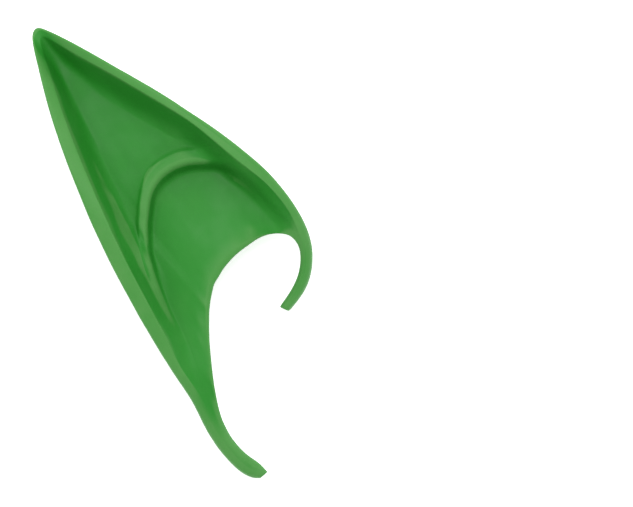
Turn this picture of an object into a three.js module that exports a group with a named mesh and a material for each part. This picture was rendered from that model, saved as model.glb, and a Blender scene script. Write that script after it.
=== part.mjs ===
// Slip-on elf ear tip, one seamless latex moulding that lies on its back, face up.
// X runs across the ear, Y from the lobe hook up to the point, and Z from the table up to the face.
// The solid is a loft: each section is an upright slice from the outer edge to the edge of the bay,
// where the pocket for the wearer's own ear opens between the front wall and the back wall.
import * as THREE from 'three';

// Driving sizes in millimetres.
const earHeight = 118;
const earWidth = 73;
const rimHeight = 22;
const latexWall = 2;
const rimWidth = 4;
const rimRound = 1.2;
const rimCorner = 0.35;
const wallRun = 8;
const ridgeRise = 0.8;
const ridgeBand = 2.7;
const ridgeShoulder = 1.6;
const ridgeDropRun = 2.6;
const lipRun = 3;
const lipRoll = 0.4;
const backRun = 12;
const backSetback = 1;
const tipLift = 5;
const pocketMargin = 5;
const pocketRoom = 1;
const grooveDepth = 0.35;
const endRound = 0.3;
const sectionStep = 2.7;

// A hook's round section is a little square, and its round sides reach this share of the way to the bay,
// where the end of the pocket's mouth is left as a groove.
const hookSquareness = 0.8;
const hookReach = 0.945;

// How softly the wall runs into the floor, far from the ridge and beside it, how near the ridge counts as
// beside it, and how softly the ridge leaves the rim's wall.
const wallBlend = 0.6;
const ridgeBlend = 1.5;
const ridgeBlendReach = 10;
const ridgeEase = 1.5;

// How far up the ear the back leaves the table, as a share of its height, and how much of that lift
// the face goes down by, so that the point stays deep.
const liftStart = 0.6;
const faceSink = 0.55;

// Near the hooks a section is narrow, and its parts take these shares of its width instead of their own
// sizes: at most rimShare for the rim and lipShare for the lip, at least wallShare for the wall, and the
// ridge between ridgeFirst and ridgeLast of the way from the rim to the bay. Its drop takes at most
// dropShare of what is left inside it, and the rise to the lip at least riseShare. Where the ridge fades
// out, ridgeLeast of its band still parts the points of its two edges.
const rimShare = 0.72;
const wallShare = 0.1;
const ridgeFirst = 0.06;
const ridgeLast = 0.9;
const dropShare = 0.25;
const riseShare = 0.6;
const lipShare = 0.4;
const ridgeLeast = 0.2;
const latexColour = 0x3d8e40;

// One row for each section, from the end of the front hook over the point to the end of the lobe hook.
// rimX, rimY and bayX, bayY place the outer edge and the bay's edge, as shares of the ear's width and
// height. band and run are the width of the rim and of the wall inside it, as shares of rimWidth and
// wallRun. rim, under, dish, bowl and lip are heights as shares of rimHeight: the rim's top, the
// underside, the floor outside the ridge, the floor inside it, and the lip at the bay. crest is how much
// of ridgeRise and ridgeBand the ridge has there, and hook is how far the section is a round hook.
const columnNames = [
  'rimX', 'rimY', 'bayX', 'bayY', 'band', 'run', 'rim', 'under', 'dish', 'bowl', 'lip', 'crest', 'hook',
];
const sectionTable = [
  [0.9185,  0.375, 0.8805,  0.386,  0.6, 0.88, 0.21,    0,  0.15,  0.15, 0.15,    0,    1],
  [ 0.968,  0.415,  0.918,  0.419,  0.6, 0.88, 0.24, 0.02,  0.18,  0.18, 0.18,    0,    1],
  [  0.99,  0.447,  0.942,   0.45,  0.6, 0.88, 0.29, 0.06,  0.22,  0.22, 0.22,    0,    1],
  [     1,  0.486,  0.953,  0.483,  0.6, 0.88, 0.36, 0.11,  0.28,  0.28, 0.28,    0,    1],
  [ 0.996,  0.525,  0.949,  0.516,  0.6, 0.88, 0.46, 0.15,  0.37,  0.37, 0.37,    0,  0.6],
  [ 0.971,   0.57,  0.921, 0.5395,  0.6, 0.88, 0.59, 0.15,  0.43,  0.43, 0.43,    0,  0.1],
  [  0.92, 0.6225,  0.868, 0.5455, 0.52, 0.88, 0.73, 0.08,  0.44,   0.4, 0.42,    0,    0],
  [0.8415, 0.6815,  0.819, 0.5385, 0.62, 0.88, 0.86, 0.02,  0.47,  0.39, 0.46,    0,    0],
  [0.7235, 0.7435,  0.772, 0.5195, 0.78, 0.88, 0.95,    0,  0.51,  0.35, 0.53,  0.9,    0],
  [ 0.534,  0.825, 0.7245, 0.4955, 0.55, 0.75, 0.98,    0,  0.52,  0.36, 0.57,    1,    0],
  [ 0.296, 0.9135, 0.6855,  0.468, 0.58, 0.84,  0.9,    0,  0.53,  0.39, 0.58,    1,    0],
  [ 0.122, 0.9735,  0.665, 0.4475,  0.6, 0.84, 0.73,    0,  0.53,  0.42, 0.58,    1,    0],
  [ 0.042, 0.9975,  0.654,  0.437, 0.52, 0.72,  0.6,    0,  0.53,  0.42, 0.58,    1,    0],
  [ 0.015,      1, 0.6495,  0.431,  0.5,  0.7, 0.56,    0,  0.53,  0.42, 0.58,    1,    0],
  [ 0.001,  0.987,  0.647, 0.4255, 0.52,  0.7, 0.56,    0,  0.53,  0.42, 0.58,    1,    0],
  [ 0.004,  0.962, 0.6445,  0.418,  0.6, 0.78, 0.63,    0,  0.53,  0.42, 0.58,    1,    0],
  [ 0.024,  0.913, 0.6395,  0.404, 0.73, 0.85, 0.75,    0,  0.53,  0.42, 0.58,    1,    0],
  [ 0.076,  0.796, 0.6345,  0.384, 0.88, 0.86, 0.88,    0, 0.515,  0.42, 0.58,    1,    0],
  [ 0.162,  0.649, 0.6325,   0.36,    1,    1, 0.95,    0, 0.495,  0.43, 0.57,  0.7,    0],
  [0.2715,  0.494, 0.6325,  0.331,    1, 0.62,  0.9,    0, 0.495,  0.46, 0.57, 0.45,    0],
  [ 0.391,  0.354, 0.6355,  0.294,  0.9, 0.55,  0.8,    0, 0.535, 0.525, 0.57,  0.1,    0],
  [ 0.498,  0.244,  0.643,  0.243,  0.6,  0.5, 0.68, 0.02, 0.565, 0.565, 0.56,    0,    0],
  [ 0.566,  0.179,  0.655,  0.195,  0.7,  0.5, 0.55, 0.08,  0.51,  0.51, 0.49,    0, 0.12],
  [ 0.619,  0.111, 0.6745,  0.145, 0.75,  0.5, 0.44,  0.1,  0.41,  0.41,  0.4,    0, 0.55],
  [ 0.674,   0.06, 0.7085, 0.0975, 0.75,  0.5, 0.35, 0.07,  0.26,  0.26, 0.26,    0,    1],
  [ 0.739,  0.018,   0.76,   0.06, 0.75,  0.5, 0.27, 0.03,   0.2,   0.2,  0.2,    0,    1],
  [ 0.781,  0.004,  0.807, 0.0395, 0.75,  0.5, 0.22,    0,  0.16,  0.16, 0.16,    0,    1],
  [ 0.804,  0.003,  0.837,   0.02, 0.75,  0.5,  0.2,    0,  0.15,  0.15, 0.15,    0,    1],
];

// The sharp edge of the ridge on the plan, from the front hook round to the lobe hook, as shares of the
// ear's width and height. It stands up only where crest does.
const ridgeLine = [
  [0.905, 0.376], [0.96, 0.46], [0.968, 0.52], [0.935, 0.565], [0.89, 0.598], [0.835, 0.64],
  [0.775, 0.69], [0.73, 0.704], [0.66, 0.7065], [0.6, 0.706], [0.54, 0.7015], [0.49, 0.688],
  [0.45, 0.668], [0.424, 0.64], [0.411, 0.603], [0.4055, 0.56], [0.4075, 0.518], [0.42, 0.48],
  [0.442, 0.432], [0.471, 0.379], [0.5, 0.34], [0.54, 0.29], [0.575, 0.24], [0.61, 0.19],
  [0.648, 0.125], [0.693, 0.078], [0.75, 0.038], [0.82, 0.011],
];
const sections = sectionTable.map((row) => Object.fromEntries(columnNames.map((name, i) => [name, row[i]])));
const tipRow = sections.reduce((best, row, i) => (row.rimY > sections[best].rimY ? i : best), 0);

const clamp01 = (t) => Math.min(1, Math.max(0, t));
const mix = (a, b, t) => a + (b - a) * t;
const smooth = (t) => clamp01(t) ** 2 * (3 - 2 * clamp01(t));
const smoothMax = (a, b, reach) => (a + b + Math.sqrt((a - b) ** 2 + reach ** 2)) / 2;

// A smooth curve on the plan through a list of shares, read at a point's number, which may be a fraction.
function planCurve(shares) {
  const points = shares.map(([x, y]) => new THREE.Vector3(x * earWidth, y * earHeight, 0));
  const curve = new THREE.CatmullRomCurve3(points, false, 'centripetal');
  return (at) => curve.getPoint(clamp01(at / (points.length - 1)));
}

// A column of the table read between its rows, on a cubic that doesn't overshoot.
function column(key, at) {
  const value = (i) => sections[Math.min(sections.length - 1, Math.max(0, i))][key];
  const slope = (i) => {
    const before = value(i) - value(i - 1);
    const after = value(i + 1) - value(i);
    return before * after <= 0 ? 0 : (2 * before * after) / (before + after);
  };
  const i = Math.min(sections.length - 2, Math.floor(at));
  const t = at - i;
  return value(i) * (1 + 2 * t) * (1 - t) ** 2 + slope(i) * t * (1 - t) ** 2
    + value(i + 1) * t * t * (3 - 2 * t) + slope(i + 1) * t * t * (t - 1);
}

const rimCurve = planCurve(sections.map((row) => [row.rimX, row.rimY]));
const bayCurve = planCurve(sections.map((row) => [row.bayX, row.bayY]));
const ridgeCurve = planCurve(ridgeLine);

// The outer edge as two runs of short segments that meet at the point of the ear, and the ridge as one.
const segmentsPerRow = 12;
function shortSegments(curve, from, to) {
  const count = (to - from) * segmentsPerRow;
  return Array.from({ length: count + 1 }, (_, i) => curve(from + i / segmentsPerRow));
}
const frontRun = shortSegments(rimCurve, 0, tipRow);
const rearRun = shortSegments(rimCurve, tipRow, sections.length - 1);
const ridgeRun = shortSegments(ridgeCurve, 0, ridgeLine.length - 1);

function distanceToRun(run, x, y) {
  let least = Infinity;
  for (let i = 0; i + 1 < run.length; i++) {
    const dx = run[i + 1].x - run[i].x;
    const dy = run[i + 1].y - run[i].y;
    const t = clamp01(((x - run[i].x) * dx + (y - run[i].y) * dy) / (dx * dx + dy * dy || 1));
    least = Math.min(least, Math.hypot(x - run[i].x - t * dx, y - run[i].y - t * dy));
  }
  return least;
}

// Depth inside the outer edge. Where both runs are near, a low sharpness rounds the middle more.
function depthInside(x, y, sharpness) {
  const front = distanceToRun(frontRun, x, y) + 1e-4;
  const rear = distanceToRun(rearRun, x, y) + 1e-4;
  return (front ** -sharpness + rear ** -sharpness) ** (-1 / sharpness);
}

// How far along a section it crosses the ridge's line.
function ridgeCrossing(rim, across, width) {
  for (let i = 0; i + 1 < ridgeRun.length; i++) {
    const along = ridgeRun[i + 1].clone().sub(ridgeRun[i]);
    const start = ridgeRun[i].clone().sub(rim);
    const turn = across.x * along.y - across.y * along.x;
    const a = (start.x * along.y - start.y * along.x) / turn;
    const t = (start.x * across.y - start.y * across.x) / turn;
    if (a > 0 && a < width && t >= 0 && t <= 1) return a;
  }
  return width / 2;
}

// Everything that one section needs: its line on the plan, its columns, and where its parts begin.
function makeSection(at) {
  const rim = rimCurve(at);
  const bay = bayCurve(at);
  const width = rim.distanceTo(bay);
  const across = bay.clone().sub(rim).divideScalar(width);
  const level = (key) => column(key, at) * rimHeight;
  const point = (a) => rim.clone().addScaledVector(across, a);
  const section = {
    rim, width, across,
    rimTop: level('rim'), underside: level('under'),
    dish: level('dish'), bowl: level('bowl'), lip: level('lip'),
    band: column('band', at) * rimWidth, run: column('run', at) * wallRun,
    crest: column('crest', at), hook: column('hook', at),
  };
  section.ridgeWidth = ridgeBand * Math.max(section.crest, ridgeLeast);
  section.faceDepth = (a) => depthInside(point(a).x, point(a).y, 6);
  section.backDepth = (a) => depthInside(point(a).x, point(a).y, 2);
  section.lift = (a) => tipLift * clamp01((point(a).y / earHeight - liftStart) / (1 - liftStart)) ** 2;
  section.rimIn = Math.min(placeAtDepth(section.faceDepth, section.band, width), rimShare * width);
  section.foot = placeAtDepth(section.faceDepth, section.band + section.run, width);
  section.foot = Math.max(section.foot, section.rimIn + wallShare * width);
  const first = mix(section.rimIn, width, ridgeFirst);
  const crossing = smoothMax(ridgeCrossing(rim, across, width), first, ridgeEase);
  section.ridgeAt = Math.min(crossing, mix(section.rimIn, width, ridgeLast));
  section.bowlEdge = section.ridgeAt + Math.min(ridgeDropRun, dropShare * (width - section.ridgeAt));
  const lipStart = width - Math.min(lipRun, lipShare * width);
  section.lipTop = Math.max(lipStart, mix(section.bowlEdge, width, riseShare));
  const apart = clamp01((section.ridgeAt - section.foot) / ridgeBlendReach);
  section.blend = mix(ridgeBlend, wallBlend, apart);
  return section;
}

// The first place along a section that lies this deep inside the outer edge.
function placeAtDepth(depthAt, depth, width) {
  const steps = 120;
  let i = 0;
  while (i < steps && depthAt((i / steps) * width) < depth) i++;
  if (i === steps) return width;
  let low = Math.max(0, i - 1) / steps;
  let high = i / steps;
  for (let k = 0; k < 12; k++) {
    const middle = (low + high) / 2;
    if (depthAt(middle * width) >= depth) high = middle;
    else low = middle;
  }
  return high * width;
}

// The inside of the ear, in two parts: the wall that comes down from the rim towards the floor, and
// the floor itself, which rises to the lip and rolls over it.
function wallHeight(s, a, floor) {
  const fall = clamp01((s.faceDepth(a) - s.band) / s.run);
  return mix(s.rimTop - 0.3 * rimCorner, floor - faceSink * s.lift(a) - 0.3, 1 - (1 - fall) ** 1.8);
}
function floorHeight(s, a, floor) {
  const toLip = clamp01((a - s.bowlEdge) / (s.lipTop - s.bowlEdge));
  const roll = lipRoll * clamp01((a - s.lipTop) / (s.width - s.lipTop)) ** 2;
  return mix(floor - faceSink * s.lift(a), s.lip, toLip) - roll;
}
function dishHeight(s, a, floor) {
  const reach = 0.1 + s.blend * clamp01((a - s.rimIn) / (s.foot - s.rimIn));
  return smoothMax(wallHeight(s, a, floor), floorHeight(s, a, floor), reach);
}

// The floor's level beside, on and inside the ridge.
function ridgeLevel(s, a) {
  const rise = smooth((a - s.ridgeAt + s.ridgeWidth + ridgeShoulder) / ridgeShoulder);
  const drop = smooth((a - s.ridgeAt) / (s.bowlEdge - s.ridgeAt));
  return mix(s.dish + s.crest * ridgeRise * rise, s.bowl, drop);
}

// Where the wall from the rim meets the floor.
function valleyPlace(s) {
  const steps = 100;
  for (let i = 1; i <= steps; i++) {
    const a = mix(s.rimIn, s.width, i / steps);
    if (wallHeight(s, a, ridgeLevel(s, a)) <= floorHeight(s, a, ridgeLevel(s, a))) return a;
  }
  return s.width;
}

// Height of the face above the table, a millimetres in from the outer edge.
function faceHeight(s, a) {
  if (a < rimRound) return s.rimTop - rimRound * (1 - Math.sqrt(1 - clamp01(1 - a / rimRound) ** 2));
  if (a <= s.rimIn) return s.rimTop - 0.3 * rimCorner * smooth((a - s.rimIn) / rimCorner + 1);
  return dishHeight(s, a, ridgeLevel(s, a));
}

// Height of the outside of the back wall above the table.
function backHeight(s, a) {
  const under = s.underside + s.lift(a);
  const edge = s.rimTop - rimRound;
  const inward = 1 - clamp01(s.backDepth(a) / backRun);
  return under + Math.max(0, edge - under) * (1 - Math.sqrt(1 - inward ** 2));
}

// The surface that the pocket's roof lies under. Its roof passes below the ridge on a straight slope.
const slopeTop = (s) => s.ridgeAt - s.ridgeWidth - ridgeShoulder;
const slopeFoot = (s) => mix(s.ridgeAt, s.bowlEdge, 0.4);
const shellHeight = (s, a) => {
  const down = clamp01((a - slopeTop(s)) / (slopeFoot(s) - slopeTop(s)));
  return Math.min(faceHeight(s, a), dishHeight(s, Math.max(a, s.rimIn), mix(s.dish, s.bowl, down)));
};

// A surface moved by the latex's thickness, square to itself: side is -1 for below and 1 for above.
function offsetHeight(height, s, a, side) {
  const reach = [-1, -0.8, -0.55, -0.25, 0, 0.25, 0.55, 0.8, 1];
  const heights = reach.filter((t) => a + t * latexWall >= 0 && a + t * latexWall <= s.width)
    .map((t) => height(s, a + t * latexWall) + side * latexWall * Math.sqrt(1 - t * t));
  return side < 0 ? Math.min(...heights) : Math.max(...heights);
}
const pocketRoof = (s, a) => offsetHeight(shellHeight, s, a, -1);
const pocketFloor = (s, a) => offsetHeight(backHeight, s, a, 1);

// How far in the pocket reaches from its mouth: to its margin, or to where its roof and floor come
// together. It grows shallow where the mouth does.
function pocketEnd(s, mouth) {
  const room = (a) => pocketRoof(s, a) - pocketFloor(s, a);
  const deepest = placeAtDepth(s.backDepth, pocketMargin, s.width);
  const shallowest = mouth - grooveDepth;
  const steps = 40;
  let end = mouth;
  for (let i = 0; i <= steps; i++) {
    const a = mix(mouth, Math.min(deepest, mouth), i / steps);
    if (room(a) < pocketRoom) break;
    end = a;
  }
  const open = smooth((room(mouth) - pocketRoom) / (2 * pocketRoom));
  return Math.min(shallowest, mix(shallowest, end, open));
}

// Places from one end of a stretch to the other, close together near the features named.
// Each feature has a place, a reach and a weight.
function spread(from, to, count, features) {
  const pull = (a, [at, reach, weight]) => weight * Math.exp(-(((a - at) / reach) ** 2));
  const density = (a) => features.reduce((sum, feature) => sum + pull(a, feature), 1);
  const steps = 200;
  const total = [0];
  for (let i = 1; i <= steps; i++) total.push(total[i - 1] + density(mix(from, to, (i - 0.5) / steps)));
  return Array.from({ length: count }, (_, k) => {
    const wanted = (total[steps] * (k + 1)) / (count + 1);
    const i = total.findIndex((sum) => sum >= wanted);
    return mix(from, to, (i - (total[i] - wanted) / (total[i] - total[i - 1])) / steps);
  });
}

// Places along the face. The rim's inner corner, the foot of its wall and the edges of the ridge always
// have a point.
function facePlaces(s) {
  const share = (from, to, shares) => shares.map((t) => mix(from, to, t));
  const ridgeFoot = Math.max(s.ridgeAt - s.ridgeWidth - ridgeShoulder, mix(s.rimIn, s.ridgeAt, 0.45));
  const ridgeCrest = Math.max(s.ridgeAt - s.ridgeWidth, mix(ridgeFoot, s.ridgeAt, 0.45));
  const valley = valleyPlace(s);
  const within = (from, to, low, high) => Math.min(mix(from, to, high), Math.max(mix(from, to, low), valley));
  const dishFoot = within(s.rimIn, ridgeFoot, 0.25, 0.8);
  const bowlFoot = within(s.bowlEdge, s.width, 0.2, 0.6);
  const rim = [[s.rimIn, 0.9, 6]];
  return [
    ...[0, 30, 60, 90].map((deg) => rimRound * (1 - Math.cos(THREE.MathUtils.degToRad(deg)))),
    s.rimIn - rimCorner, s.rimIn,
    ...spread(s.rimIn, dishFoot, 4, rim), dishFoot,
    ...spread(dishFoot, ridgeFoot, 3, [[dishFoot, 2, 3]]), ridgeFoot,
    ...share(ridgeFoot, ridgeCrest, [0.33, 0.67, 1]),
    ...share(ridgeCrest, s.ridgeAt, [0.5, 1]),
    ...share(s.ridgeAt, s.bowlEdge, [0.33, 0.67, 1]),
    ...spread(s.bowlEdge, bowlFoot, 3, rim), bowlFoot,
    ...spread(bowlFoot, s.width, 4, [[s.width, 0.5 * lipRun, 2]]), s.width,
  ];
}

// A hook's round section: the height of its upper side, 1, or its lower side, -1, at a place.
function hookHeight(s, a, side) {
  const middle = (s.rimTop + s.underside) / 2;
  const cosine = Math.abs((2 * a) / s.width - 1) ** (1 / hookSquareness);
  return middle + side * (s.rimTop - middle) * Math.sqrt(1 - cosine ** 2) ** hookSquareness;
}

const backShares = [0.04, 0.1, 0.19, 0.32, 0.48, 0.64, 0.82, 1];
const pocketShares = [0.2, 0.4, 0.6, 0.8, 0.93];

// Places along the pocket's roof from its closed end to the mouth, with points at the ridge's slope.
function roofPlaces(s, end) {
  const room = s.width - end;
  const top = Math.max(slopeTop(s), end + 0.25 * room);
  const foot = Math.max(slopeFoot(s), end + 0.4 * room);
  const share = (from, to, shares) => shares.map((t) => mix(from, to, t));
  return [
    ...share(end, top, [0.15, 0.4, 0.7, 1]), mix(top, foot, 0.5), foot,
    ...share(foot, s.width, [0.35, 0.7, 1]),
  ];
}

// One closed slice, as points with a from the outer edge and z from the table: over the face from the
// bay to the outer edge, under the back to the bay again, and round the pocket.
function slice(s) {
  const face = facePlaces(s).reverse().map((a) => ({ a, z: faceHeight(s, a) }));
  const backEdge = s.width - backSetback * (1 - s.hook);
  const back = backShares.map((t) => t * backEdge).map((a) => ({ a, z: backHeight(s, a) }));
  const end = pocketEnd(s, backEdge);
  const middle = (a) => (pocketRoof(s, a) + pocketFloor(s, a)) / 2;
  const halfRoom = (a) => Math.max(pocketRoof(s, a) - pocketFloor(s, a), pocketRoom) / 2;
  const floor = [0, ...pocketShares].map((t) => mix(backEdge, end, t))
    .map((a) => ({ a, z: middle(a) - halfRoom(a) }));
  floor.push({ a: end, z: middle(end) });
  const roof = roofPlaces(s, end).map((a) => ({ a, z: middle(a) + halfRoom(a) }));
  const body = [...face, ...back, ...floor, ...roof];
  if (s.hook === 0) return body;

  const roundAt = (share, side) => {
    const a = share * hookReach * s.width;
    return { a, z: hookHeight(s, a, side) };
  };
  const rounded = [
    ...face.map((p) => roundAt(p.a / s.width, 1)),
    ...back.map((p) => roundAt(p.a / backEdge, -1)),
  ];
  const groove = [...floor, ...roof].map((_, i, all) => {
    const t = (i + 1) / (all.length + 1);
    const from = rounded[rounded.length - 1];
    const to = rounded[0];
    return { a: mix(from.a, to.a, t) - grooveDepth * Math.sin(Math.PI * t), z: mix(from.z, to.z, t) };
  });
  return body.map((p, i) => {
    const q = [...rounded, ...groove][i];
    return { a: mix(p.a, q.a, s.hook), z: mix(p.z, q.z, s.hook) };
  });
}

// Where the sections stand: each span of the table is cut into steps of about sectionStep.
function sectionPlaces() {
  const places = [0];
  for (let i = 0; i + 1 < sections.length; i++) {
    const length = Math.max(
      rimCurve(i).distanceTo(rimCurve(i + 1)),
      bayCurve(i).distanceTo(bayCurve(i + 1)),
    );
    const steps = Math.max(2, Math.round(length / sectionStep));
    for (let k = 1; k <= steps; k++) places.push(i + k / steps);
  }
  return places;
}

const centre = (ring) => ring.reduce((sum, p) => sum.add(p), new THREE.Vector3()).divideScalar(ring.length);

// A hook's end is rounded by one smaller copy of its last slice, pushed out along the hook.
function roundedEnd(ring, outward) {
  const middle = centre(ring);
  return ring.map((p) => {
    const inward = middle.clone().sub(p);
    const shrink = Math.min(1, endRound / inward.length());
    return p.clone().addScaledVector(inward, shrink).addScaledVector(outward, endRound);
  });
}

function ringOf(at) {
  const s = makeSection(at);
  return slice(s).map(({ a, z }) => s.rim.clone().addScaledVector(s.across, a).setZ(z));
}

function earTipGeometry() {
  const rings = sectionPlaces().map(ringOf);
  const last = rings.length - 1;
  const outward = (end, next) => centre(end).sub(centre(next)).setZ(0).normalize();
  const firstEnd = roundedEnd(rings[0], outward(rings[0], rings[1]));
  const lastEnd = roundedEnd(rings[last], outward(rings[last], rings[last - 1]));
  rings.unshift(firstEnd);
  rings.push(lastEnd);

  const count = rings[0].length;
  const positions = rings.flat().flatMap((p) => [p.x, p.y, p.z]);
  const indices = [];
  for (let r = 0; r + 1 < rings.length; r++) {
    for (let i = 0; i < count; i++) {
      const a = r * count + i;
      const b = r * count + ((i + 1) % count);
      indices.push(a, b, b + count, a, b + count, a + count);
    }
  }
  // The flat ends of the hooks, each as a fan about its middle.
  const capEnd = (ring, offset, turned) => {
    const middle = positions.length / 3;
    positions.push(...centre(ring).toArray());
    for (let i = 0; i < count; i++) {
      const here = offset + i;
      const next = offset + ((i + 1) % count);
      indices.push(middle, ...(turned ? [next, here] : [here, next]));
    }
  };
  capEnd(rings[0], 0, true);
  capEnd(rings[rings.length - 1], (rings.length - 1) * count, false);

  const geometry = new THREE.BufferGeometry();
  geometry.setAttribute('position', new THREE.Float32BufferAttribute(positions, 3));
  geometry.setIndex(indices);
  geometry.computeVertexNormals();
  return geometry;
}

const latex = new THREE.MeshStandardMaterial({ color: latexColour, roughness: 0.55, metalness: 0 });
const earTip = new THREE.Mesh(earTipGeometry(), latex);
earTip.name = 'ear_tip';

// The origin is below the middle of the ear, on the table.
const ear = new THREE.Group();
earTip.geometry.computeBoundingBox();
const box = earTip.geometry.boundingBox;
earTip.position.set(-(box.min.x + box.max.x) / 2, -(box.min.y + box.max.y) / 2, -box.min.z);
ear.add(earTip);

export default ear;
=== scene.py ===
# %% [markdown]
# # An elf ear tip cast in green latex
# The ear tip is one thin, hollow moulding: a pointed leaf shape with a flat rim, a curved ridge and a
# deep bay with two hooks. It lies on its back on a white table and is looked at from straight above.
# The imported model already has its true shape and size, so this lesson turns it into a smooth surface,
# adds the small unevenness of hand-poured rubber, and gives it the finish of dyed latex.

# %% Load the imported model
import math

import bmesh
import bpy
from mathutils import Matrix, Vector, noise
from mathutils.bvhtree import BVHTree
from mathutils.kdtree import KDTree


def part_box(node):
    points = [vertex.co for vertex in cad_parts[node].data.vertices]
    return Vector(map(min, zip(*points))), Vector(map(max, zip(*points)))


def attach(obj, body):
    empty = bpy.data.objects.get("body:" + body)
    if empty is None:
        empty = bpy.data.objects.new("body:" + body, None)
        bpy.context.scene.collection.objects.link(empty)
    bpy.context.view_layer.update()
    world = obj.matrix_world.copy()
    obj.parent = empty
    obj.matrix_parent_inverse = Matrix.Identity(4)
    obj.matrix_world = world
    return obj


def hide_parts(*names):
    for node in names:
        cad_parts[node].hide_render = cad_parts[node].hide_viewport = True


MM = 0.001
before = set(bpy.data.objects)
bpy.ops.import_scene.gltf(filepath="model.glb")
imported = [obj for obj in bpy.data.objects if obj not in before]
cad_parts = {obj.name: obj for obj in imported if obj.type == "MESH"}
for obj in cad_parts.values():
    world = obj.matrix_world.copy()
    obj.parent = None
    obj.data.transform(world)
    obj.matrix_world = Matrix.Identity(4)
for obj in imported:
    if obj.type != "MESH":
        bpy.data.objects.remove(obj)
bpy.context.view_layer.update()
ear_low, ear_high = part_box("ear_tip")
ear_middle = (ear_low + ear_high) / 2
print("CAD box in mm:", [round(side / MM, 1) for side in ear_high - ear_low])

# %% [markdown]
# ## The camera
# A product picture of a flat thing is taken from far away with a long lens, so that the sides of the
# rim hardly show. One pixel of the picture is 0.26 mm on the table. The ear fills the left half of the
# frame, so the camera stands to the right of the ear's middle and looks straight down.

# %% Camera
PICTURE_WIDTH = 633
MM_PER_PIXEL = 0.26
EAR_MIDDLE_PIXEL = 172.5
# The height is in metres, and the sensor's width and the lens are in millimetres.
CAMERA_HEIGHT = 1.2
SENSOR_WIDTH = 36

camera_data = bpy.data.cameras.new("camera")
camera_data.sensor_width = SENSOR_WIDTH
frame_width = PICTURE_WIDTH * MM_PER_PIXEL * MM
camera_data.lens = SENSOR_WIDTH * (CAMERA_HEIGHT - ear_middle.z) / frame_width
camera = bpy.data.objects.new("camera", camera_data)
camera.location = (
    ear_middle.x + (PICTURE_WIDTH / 2 - EAR_MIDDLE_PIXEL) * MM_PER_PIXEL * MM,
    ear_middle.y,
    CAMERA_HEIGHT,
)
bpy.context.scene.collection.objects.link(camera)
bpy.context.scene.camera = camera
print("lens in mm:", round(camera_data.lens))

# %% [markdown]
# ## Smooth latex from flat facets
# The model is made of loose triangles, and a subdivision surface only looks smooth on four-sided faces.
# Joining triangles by their shape picks wrong pairs on a slanting grid, and each wrong pair shows later
# as a small crease. The ear's triangles lie in rings, one after another from the end of the front hook
# to the end of the lobe hook. So the way here is to start at a flat cut end, to walk from ring to ring and
# to take out the slanting edge of each pair, which gives back the true grid.

# %% Merge the copy of the node
MERGE_DISTANCE = 0.001 * MM

latex = bmesh.new()
latex.from_mesh(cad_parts["ear_tip"].data)
bmesh.ops.remove_doubles(latex, verts=latex.verts, dist=MERGE_DISTANCE)
print("merged points:", len(latex.verts), "triangles:", len(latex.faces))


# %% Find the slanting edges, ring by ring
FLAT_TURN = math.radians(5)


def flat_end(latex):
    """The flat faces of one cut end, found from its middle point, which has the most edges."""
    end_point = max(latex.verts, key=lambda vert: len(vert.link_edges))
    flat_faces = set(end_point.link_faces)
    growing = list(flat_faces)
    while growing:
        for edge in growing.pop().edges:
            beside = [face for face in edge.link_faces if face not in flat_faces]
            if beside and edge.calc_face_angle() < FLAT_TURN:
                flat_faces.update(beside)
                growing += beside
    return flat_faces


def slanting_edges(latex):
    """The slanting edges of the grid, and the edges of the ring round each end of the ear."""
    walked = flat_end(latex)
    first_ring = [
        edge for face in walked for edge in face.edges if not walked.issuperset(edge.link_faces)
    ]
    ring = first_ring
    slanting = []
    while ring:
        following = []
        for edge in ring:
            face = next((face for face in edge.link_faces if face not in walked), None)
            if face is None:
                continue
            start = next(loop for loop in face.loops if loop.edge == edge)
            diagonal = start.link_loop_prev.edge
            partner = next(other for other in diagonal.link_faces if other != face)
            across = next(side for side in partner.edges if start.vert not in side.verts)
            slanting.append(diagonal)
            walked.update((face, partner))
            following.append(across)
        if len(walked) + len(ring) >= len(latex.faces):
            return slanting, first_ring + following
        ring = following
    raise RuntimeError("the rings of the grid end before the far end of the ear")


# %% Take the slanting edges out
END_CREASE = 0.9

# A new layer comes before the walk, because adding one makes Blender forget the edges found so far.
crease = latex.edges.layers.float.new("crease_edge")
slanting, end_rings = slanting_edges(latex)
for edge in end_rings:
    edge[crease] = END_CREASE
bmesh.ops.dissolve_edges(latex, edges=slanting, use_verts=False)
four_sided = sum(len(face.verts) == 4 for face in latex.faces)
print("faces:", len(latex.faces), "four-sided:", four_sided)

# %% [markdown]
# ## How open each place is
# High, open places such as the rim, the ridge and the hooks get a paler green, which is a painted sheen,
# and the hollows get a deeper green, which is painted shade. Rays sent out from each point of the coarse
# mesh measure how much of its surroundings is free. A crest is told from a hollow by how far a point
# stands out from the middle of the surface around it. Faces count by their area, so that the close loops
# of the grid weigh no more than the wide ones. Both are attributes, which the subdivision then blends.

# %% Measure openness
RAY_COUNT = 48
RAY_REACH = 25 * MM
RAY_START = 0.05 * MM


def sky_directions(count):
    """Directions spread evenly over the upper half of a sphere, on a sunflower's spiral."""
    golden_turn = math.pi * (3 - math.sqrt(5))
    directions = []
    for i in range(count):
        height = (i + 0.5) / count
        around = math.sqrt(1 - height * height)
        turn = i * golden_turn
        directions.append(Vector((around * math.cos(turn), around * math.sin(turn), height)))
    return directions


def openness_of(vert, tree, directions):
    """The share of the directions round a point's own normal that meet nothing nearby."""
    turn = Vector((0, 0, 1)).rotation_difference(vert.normal)
    start = vert.co + vert.normal * RAY_START
    hits = [tree.ray_cast(start, turn @ direction, RAY_REACH)[0] for direction in directions]
    return sum(hit is None for hit in hits) / len(hits)


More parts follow.
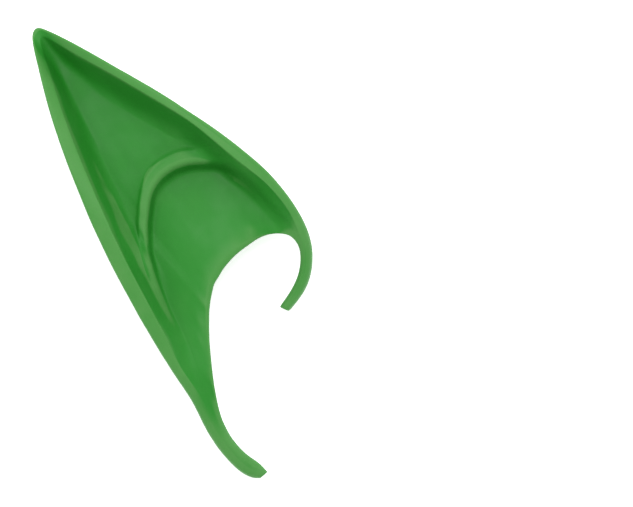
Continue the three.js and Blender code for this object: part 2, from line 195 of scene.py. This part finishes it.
latex.normal_update()
sky = sky_directions(RAY_COUNT)
ear_tree = BVHTree.FromBMesh(latex)
open_layer = latex.verts.layers.float.new("openness")
for vert in latex.verts:
    vert[open_layer] = openness_of(vert, ear_tree, sky)
print("mean openness:", round(sum(v[open_layer] for v in latex.verts) / len(latex.verts), 2))

# %% Measure crests
CREST_REACH = 4 * MM
SAME_SIDE_FROM = 0.1
SAME_SIDE_TO = 0.6


def crest_of(vert, faces, tree):
    """How far a point stands out of the surface around it, as a share of the reach."""
    middle = Vector()
    total = 0
    for _, index, distance in tree.find_range(vert.co, CREST_REACH):
        centre, normal, area = faces[index]
        agreement = (normal.dot(vert.normal) - SAME_SIDE_FROM) / (SAME_SIDE_TO - SAME_SIDE_FROM)
        weight = area * (1 - (distance / CREST_REACH) ** 2) * min(1, max(0, agreement))
        middle += centre * weight
        total += weight
    return (vert.co - middle / total).dot(vert.normal) / CREST_REACH if total else 0


face_facts = [(face.calc_center_median(), face.normal.copy(), face.calc_area()) for face in latex.faces]
face_tree = KDTree(len(face_facts))
for index, (centre, _, _) in enumerate(face_facts):
    face_tree.insert(centre, index)
face_tree.balance()
crest_layer = latex.verts.layers.float.new("crest")
for vert in latex.verts:
    vert[crest_layer] = crest_of(vert, face_facts, face_tree)
crests = sorted(vert[crest_layer] for vert in latex.verts)
crest_steps = [round(crests[int(len(crests) * share)], 3) for share in (0.1, 0.5, 0.9)]
print("crest at a tenth, a half and nine tenths of the points:", crest_steps)

# %% Subdivide the surface
SUBDIVISIONS = 2

coarse_mesh = bpy.data.meshes.new("coarse_ear")
latex.to_mesh(coarse_mesh)
latex.free()
coarse_ear = bpy.data.objects.new("coarse_ear", coarse_mesh)
bpy.context.scene.collection.objects.link(coarse_ear)
subdivision = coarse_ear.modifiers.new("smooth", "SUBSURF")
subdivision.levels = SUBDIVISIONS
subdivision.render_levels = SUBDIVISIONS
depsgraph = bpy.context.evaluated_depsgraph_get()
ear_mesh = bpy.data.meshes.new_from_object(coarse_ear.evaluated_get(depsgraph))
bpy.data.objects.remove(coarse_ear)
print("points after subdivision:", len(ear_mesh.vertices))

# %% [markdown]
# ## Hand-poured unevenness
# Poured rubber is never quite even, and its edges are trimmed with scissors. Smooth noise moves each
# point a little along its normal: a broad wave for the pour and a finer one for the skin. Points close
# to the table stay put, so that the ear still rests flat.

# %% Uneven skin
BROAD_WAVE = 11 * MM
BROAD_HEIGHT = 0.12 * MM
FINE_WAVE = 2.4 * MM
FINE_HEIGHT = 0.03 * MM
FINE_SHIFT = Vector((7, 3, 5))
REST_BAND = 1.5 * MM


def uneven(place):
    """How far the skin stands out at a place. The shift keeps the two waves from sharing their humps."""
    broad = noise.noise(place / BROAD_WAVE) * BROAD_HEIGHT
    fine = noise.noise(place / FINE_WAVE + FINE_SHIFT) * FINE_HEIGHT
    above_table = min(1, max(0, place.z / REST_BAND))
    return (broad + fine) * above_table


moves = [vert.normal * uneven(vert.co) for vert in ear_mesh.vertices]
for vert, move in zip(ear_mesh.vertices, moves):
    vert.co += move
for face in ear_mesh.polygons:
    face.use_smooth = True
print("largest move in mm:", round(max(move.length for move in moves) / MM, 3))

# %% Put the latex ear in place of the model's node
latex_ear = bpy.data.objects.new("latex_ear", ear_mesh)
bpy.context.scene.collection.objects.link(latex_ear)
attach(latex_ear, "root")
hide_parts("ear_tip")

# %% [markdown]
# ## Dyed latex
# The rubber is dyed right through, so the colour is a strong green with faint clouds in it. Where the
# surface is open and stands up, a paler green is painted on as sheen; in the hollows a deeper green is
# painted on as shade. It is satin rather than glossy, and a very fine bump breaks up the highlights.

# %% Latex material
# The deepest green is painted shade, laid into the hollows according to their openness.
PAINTED_SHADE_GREEN = (0.010, 0.166, 0.010, 1)
LATEX_GREEN = (0.024, 0.236, 0.024, 1)
# This pale green is a painted sheen on the crests, and also the tone of the latex's own random clouds.
SHEEN_AND_CLOUD_GREEN = (0.076, 0.276, 0.060, 1)

latex_material = bpy.data.materials.new("dyed_latex")
latex_material.use_nodes = True
nodes = latex_material.node_tree.nodes
links = latex_material.node_tree.links
shader = nodes["Principled BSDF"]


def add_node(kind, **settings):
    """A new node of the latex material."""
    node = nodes.new(kind)
    for name, value in settings.items():
        setattr(node, name, value)
    return node


def add_noise(size, detail):
    """Noise on Object coordinates whose clouds are about this many metres across."""
    node = add_node("ShaderNodeTexNoise")
    node.inputs["Scale"].default_value = 1 / size
    node.inputs["Detail"].default_value = detail
    links.new(coordinates.outputs["Object"], node.inputs["Vector"])
    return node.outputs["Fac"]


def add_range(source, low, high, to_low=0.0, to_high=1.0):
    """The source value spread smoothly from one range to another."""
    node = add_node("ShaderNodeMapRange", interpolation_type="SMOOTHSTEP")
    for name, value in (("From Min", low), ("From Max", high), ("To Min", to_low), ("To Max", to_high)):
        node.inputs[name].default_value = value
    links.new(source, node.inputs["Value"])
    return node.outputs["Result"]


def add_math(operation, first, second):
    """The result of one sum, where each side is a number or another node's output."""
    node = add_node("ShaderNodeMath", operation=operation)
    for socket, value in zip(node.inputs, (first, second)):
        if isinstance(value, (int, float)):
            socket.default_value = value
        else:
            links.new(value, socket)
    return node.outputs["Value"]


def add_mix(share, first, second):
    """The first colour turning into the second as the share rises from 0 to 1."""
    node = add_node("ShaderNodeMix", data_type="RGBA")
    links.new(share, node.inputs["Factor"])
    for socket, value in ((node.inputs[6], first), (node.inputs[7], second)):
        if isinstance(value, tuple):
            socket.default_value = value
        else:
            links.new(value, socket)
    return node.outputs[2]


coordinates = add_node("ShaderNodeTexCoord")
openness = add_node("ShaderNodeAttribute", attribute_name="openness").outputs["Fac"]
crest = add_node("ShaderNodeAttribute", attribute_name="crest").outputs["Fac"]

# %% Colour of the latex
CLOUD_SIZE = 9 * MM
CLOUD_DETAIL = 4
HOLLOW_TO_OPEN = (0.35, 0.8)
MOST_OPEN_SHARE = 0.9
FLAT_TO_CREST = (0.02, 0.10)
PATCHES_TO_SHEEN = (0.3, 0.7, 0.7, 1.0)
FAINT_TO_CLOUDY = (0.45, 0.75)
MOST_CLOUD_SHARE = 0.14

clouds = add_noise(CLOUD_SIZE, CLOUD_DETAIL)
# Painted shade: the green turns deeper where the rays find the surroundings closed.
unshaded_share = add_range(openness, *HOLLOW_TO_OPEN)
green = add_mix(add_math("MULTIPLY", unshaded_share, MOST_OPEN_SHARE), PAINTED_SHADE_GREEN, LATEX_GREEN)
# Painted sheen: raised places turn pale in patches set by the clouds. The faint clouds elsewhere are the
# latex's own random tone.
raised = add_range(crest, *FLAT_TO_CREST)
crest_sheen = add_math("MULTIPLY", raised, add_range(clouds, *PATCHES_TO_SHEEN))
cloudy = add_math("MULTIPLY", add_range(clouds, *FAINT_TO_CLOUDY), MOST_CLOUD_SHARE)
sheen_and_clouds = add_mix(add_math("MAXIMUM", crest_sheen, cloudy), green, SHEEN_AND_CLOUD_GREEN)
links.new(sheen_and_clouds, shader.inputs["Base Color"])

# %% Gloss and skin of the latex
SHINE = 0.2
SOFT_LIGHT_SHARE = 0.06
SOFT_LIGHT_COLOURS = (0.3, 1.0, 0.3)
SOFT_LIGHT_DEPTH = 1.5 * MM
PATCHES_TO_ROUGHNESS = (0.3, 0.7, 0.46, 0.6)
SPECK_SIZE = 0.7 * MM
SPECK_DETAIL = 3
SKIN_STRENGTH = 0.35
SKIN_HEIGHT = 0.05 * MM

shader.inputs["Specular IOR Level"].default_value = SHINE
shader.inputs["Subsurface Weight"].default_value = SOFT_LIGHT_SHARE
shader.inputs["Subsurface Radius"].default_value = SOFT_LIGHT_COLOURS
shader.inputs["Subsurface Scale"].default_value = SOFT_LIGHT_DEPTH
links.new(add_range(clouds, *PATCHES_TO_ROUGHNESS), shader.inputs["Roughness"])

specks = add_noise(SPECK_SIZE, SPECK_DETAIL)
skin = add_node("ShaderNodeBump")
skin.inputs["Strength"].default_value = SKIN_STRENGTH
skin.inputs["Distance"].default_value = SKIN_HEIGHT
links.new(specks, skin.inputs["Height"])
links.new(skin.outputs["Normal"], shader.inputs["Normal"])
ear_mesh.materials.clear()
ear_mesh.materials.append(latex_material)

# %% [markdown]
# ## Table and light
# The picture has a bare white ground with next to no shadow, and soft light. So the table is a light
# table: white, and glowing a little itself, which washes the shadow out. One large round light stands a
# little towards the point of the ear, and a bright, even sky fills the hollows.

# %% White table
# Half the table's side is in metres.
TABLE_HALF = 1.5
TABLE_WHITE = (0.92, 0.92, 0.92, 1)
TABLE_GLOW = 0.6
PURE_WHITE = (1, 1, 1, 1)

table = bmesh.new()
bmesh.ops.create_grid(table, x_segments=1, y_segments=1, size=TABLE_HALF)
table_mesh = bpy.data.meshes.new("table")
table.to_mesh(table_mesh)
table.free()
table_object = bpy.data.objects.new("table", table_mesh)
bpy.context.scene.collection.objects.link(table_object)
table_material = bpy.data.materials.new("white_paper")
table_material.use_nodes = True
table_shader = table_material.node_tree.nodes["Principled BSDF"]
table_shader.inputs["Base Color"].default_value = TABLE_WHITE
table_shader.inputs["Roughness"].default_value = 1
table_shader.inputs["Specular IOR Level"].default_value = 0
table_shader.inputs["Emission Color"].default_value = PURE_WHITE
table_shader.inputs["Emission Strength"].default_value = TABLE_GLOW
table_mesh.materials.append(table_material)

# %% Soft light
# The place and the size of the light are in metres, and its power is in watts.
LIGHT_PLACE = Vector((0, 0.25, 0.6))
LIGHT_SIZE = 0.35
LIGHT_POWER = 2.2
SKY_STRENGTH = 0.8

light_data = bpy.data.lights.new("soft_light", "AREA")
light_data.shape = "DISK"
light_data.size = LIGHT_SIZE
light_data.energy = LIGHT_POWER
light = bpy.data.objects.new("soft_light", light_data)
light.location = LIGHT_PLACE
light.rotation_euler = (ear_middle - LIGHT_PLACE).to_track_quat("-Z", "Y").to_euler()
bpy.context.scene.collection.objects.link(light)

sky_world = bpy.data.worlds.new("sky")
sky_world.use_nodes = True
background = sky_world.node_tree.nodes["Background"]
background.inputs["Color"].default_value = PURE_WHITE
background.inputs["Strength"].default_value = SKY_STRENGTH
bpy.context.scene.world = sky_world
bpy.context.scene.view_settings.view_transform = "Standard"
